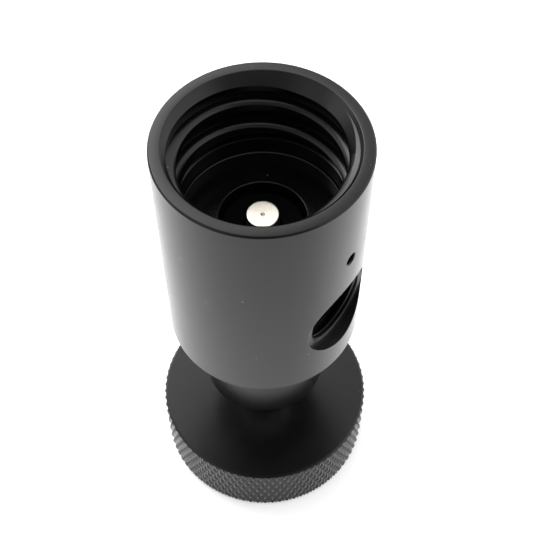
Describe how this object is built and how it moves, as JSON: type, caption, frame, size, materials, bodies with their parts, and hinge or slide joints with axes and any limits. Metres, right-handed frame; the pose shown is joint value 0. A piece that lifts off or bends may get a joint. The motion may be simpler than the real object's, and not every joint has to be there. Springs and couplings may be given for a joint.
{
  "type": "gas cylinder valve adapter",
  "caption": "Black anodised turned housing with a coarse threaded socket, a side port and a silver centre pin, which a knurled knob on a slim neck raises.",
  "frame": {"origin": "middle of the knob's underside, on the turning axis", "axes": "+Z along the turning axis towards the socket's rim, +X out through the side port"},
  "size_m": [0.0306, 0.0306, 0.0659],
  "materials": {
    "black_anodised": "black anodised, satin",
    "polished_steel": "turned bright",
    "spring_steel": "plain",
    "brass": "turned",
    "black_plastic": "turned, matte",
    "rubber": "matte",
    "white_ptfe": "matte"
  },
  "bodies": {
    "housing": {"valve_body": "black_anodised", "bonnet": "black_anodised", "seat_gasket": "rubber", "guide_bush": "black_plastic", "spring_washer": "spring_steel", "return_spring": "spring_steel", "bonnet_oring": "rubber", "spindle_nut": "brass", "wiper_ring": "rubber", "snap_ring": "spring_steel"},
    "pin": {"valve_pin": "polished_steel", "thrust_ball": "polished_steel"},
    "spindle_group": {"spindle": "spring_steel", "spindle_oring_lower": "rubber", "spindle_oring_upper": "rubber", "backup_ring_lower": "white_ptfe", "backup_ring_upper": "white_ptfe", "knob": "black_anodised", "knob_key": "spring_steel", "knob_washer": "polished_steel", "knob_screw": "polished_steel"}
  },
  "joints": [
    {"name": "pin_lift", "type": "slide", "parent": "housing", "child": "pin", "axis": [0, 0, 1], "range_m": [0, 0.00625], "deforming": ["return_spring"]},
    {"name": "knob_turn", "type": "hinge", "parent": "pin", "child": "spindle_group", "pos_m": [0, 0, 0], "axis": [0, 0, 1], "range_deg": [0, 1800]}
  ],
  "couplings": [
    {"joint": "pin_lift", "follows": "knob_turn", "m_per_rad": 0.00019894}
  ]
}
